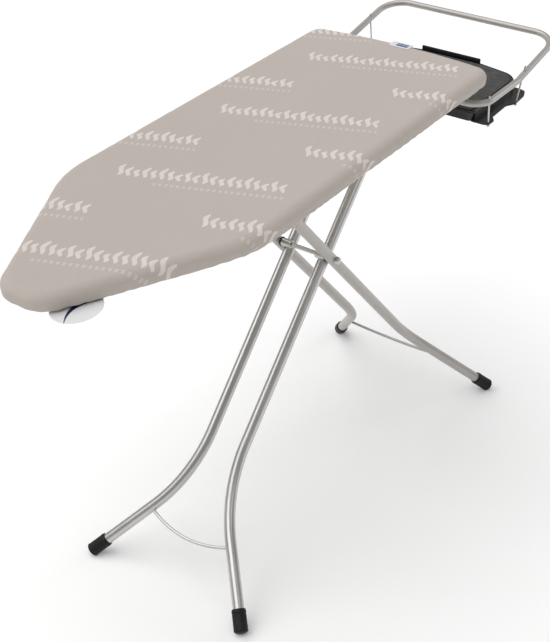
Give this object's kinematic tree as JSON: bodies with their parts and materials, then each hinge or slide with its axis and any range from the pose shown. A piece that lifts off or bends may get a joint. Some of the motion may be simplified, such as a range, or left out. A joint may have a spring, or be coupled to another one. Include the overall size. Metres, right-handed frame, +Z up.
{
  "type": "ironing board",
  "caption": "Folding ironing board with a padded cloth cover, mesh steel top, scissor legs with rubber feet, and a steam unit tray inside a tube guard at the square end.",
  "frame": {"origin": "under the middle of the bounding box, on the floor", "axes": "+Z up, -X towards the nose of the board, +X towards the steam unit holder, -Y the near side"},
  "size_m": [1.5693, 0.49, 0.9531],
  "materials": {
    "cover_cloth": "woven cotton, beige-grey with a pale printed pattern",
    "foam": "soft foam pad",
    "zinc_steel": "bright zinc plated",
    "satin_chrome": "satin chrome plated tube",
    "silver_paint": "matt silver powder coat",
    "rubber": "ribbed black rubber",
    "black_plastic": "satin black moulded plastic",
    "grey_mat": "matt dark grey non-slip mat",
    "white_card": "glossy white with a dark blue patch",
    "white_tape": "woven white tape with a blue patch"
  },
  "bodies": {
    "board": {"cover": "cover_cloth", "foam_pad": "foam", "mesh_top": "zinc_steel", "rim_tube": "zinc_steel", "cross_brace_1": "zinc_steel", "cross_brace_2": "zinc_steel", "cross_brace_3": "zinc_steel", "cross_brace_4": "zinc_steel", "cross_brace_5": "zinc_steel", "rack_rail_near": "zinc_steel", "leg_hinge_bracket_near": "zinc_steel", "hinge_screw_near": "zinc_steel", "guard_clamp_near": "zinc_steel", "clamp_screw_near": "zinc_steel", "rack_rail_far": "zinc_steel", "leg_hinge_bracket_far": "zinc_steel", "hinge_screw_far": "zinc_steel", "guard_clamp_far": "zinc_steel", "clamp_screw_far": "zinc_steel", "guard_tube": "silver_paint", "lever_bracket_front": "zinc_steel", "lever_bracket_rear": "zinc_steel", "lever_spring": "zinc_steel", "tray": "black_plastic", "tray_mat": "grey_mat", "hanger_rod_near_front": "zinc_steel", "hanger_rod_near_rear": "zinc_steel", "hanger_rod_far_front": "zinc_steel", "hanger_rod_far_rear": "zinc_steel", "hanger_nut_near_front": "zinc_steel", "hanger_nut_near_rear": "zinc_steel", "hanger_nut_far_front": "zinc_steel", "edge_label": "white_tape", "oval_tag": "white_card"},
    "front_legs": {"front_leg_near": "satin_chrome", "front_cap_near": "rubber", "axle_sleeve_near": "zinc_steel", "hinge_rod_clip_near": "zinc_steel", "axle_washer_near": "black_plastic", "axle_nut_near": "zinc_steel", "front_leg_far": "satin_chrome", "front_cap_far": "rubber", "axle_sleeve_far": "zinc_steel", "hinge_rod_clip_far": "zinc_steel", "axle_washer_far": "black_plastic", "axle_nut_far": "zinc_steel", "front_wire_brace": "satin_chrome", "hinge_rod": "zinc_steel", "axle_rod": "zinc_steel"},
    "rear_legs": {"rear_leg_near": "silver_paint", "rear_cap_near": "rubber", "bar_clip_near": "zinc_steel", "rear_leg_far": "silver_paint", "rear_cap_far": "rubber", "bar_clip_far": "zinc_steel", "rear_wire_brace": "silver_paint", "sliding_bar": "zinc_steel"},
    "height_lever": {"lever_rod": "zinc_steel", "lever_grip": "black_plastic", "lever_comb": "zinc_steel"}
  },
  "joints": [
    {"name": "legs_fold", "type": "hinge", "parent": "board", "child": "front_legs", "pos_m": [0.3563, 0, 0.9], "axis": [0, 1, 0], "range_deg": [0, 37]},
    {"name": "rear_legs_fold", "type": "hinge", "parent": "front_legs", "child": "rear_legs", "pos_m": [0.052, 0, 0.6076], "axis": [0, 1, 0], "range_deg": [-81, 0]},
    {"name": "lever_squeeze", "type": "hinge", "parent": "board", "child": "height_lever", "pos_m": [-0.3188, 0.028, 0.873], "axis": [1, 0, 0], "range_deg": [0, 8], "stiffness_Nm_per_rad": 6, "springref_deg": -5.73}
  ],
  "couplings": [
    {"joint": "rear_legs_fold", "follows": "legs_fold", "ratio": -2.165}
  ]
}
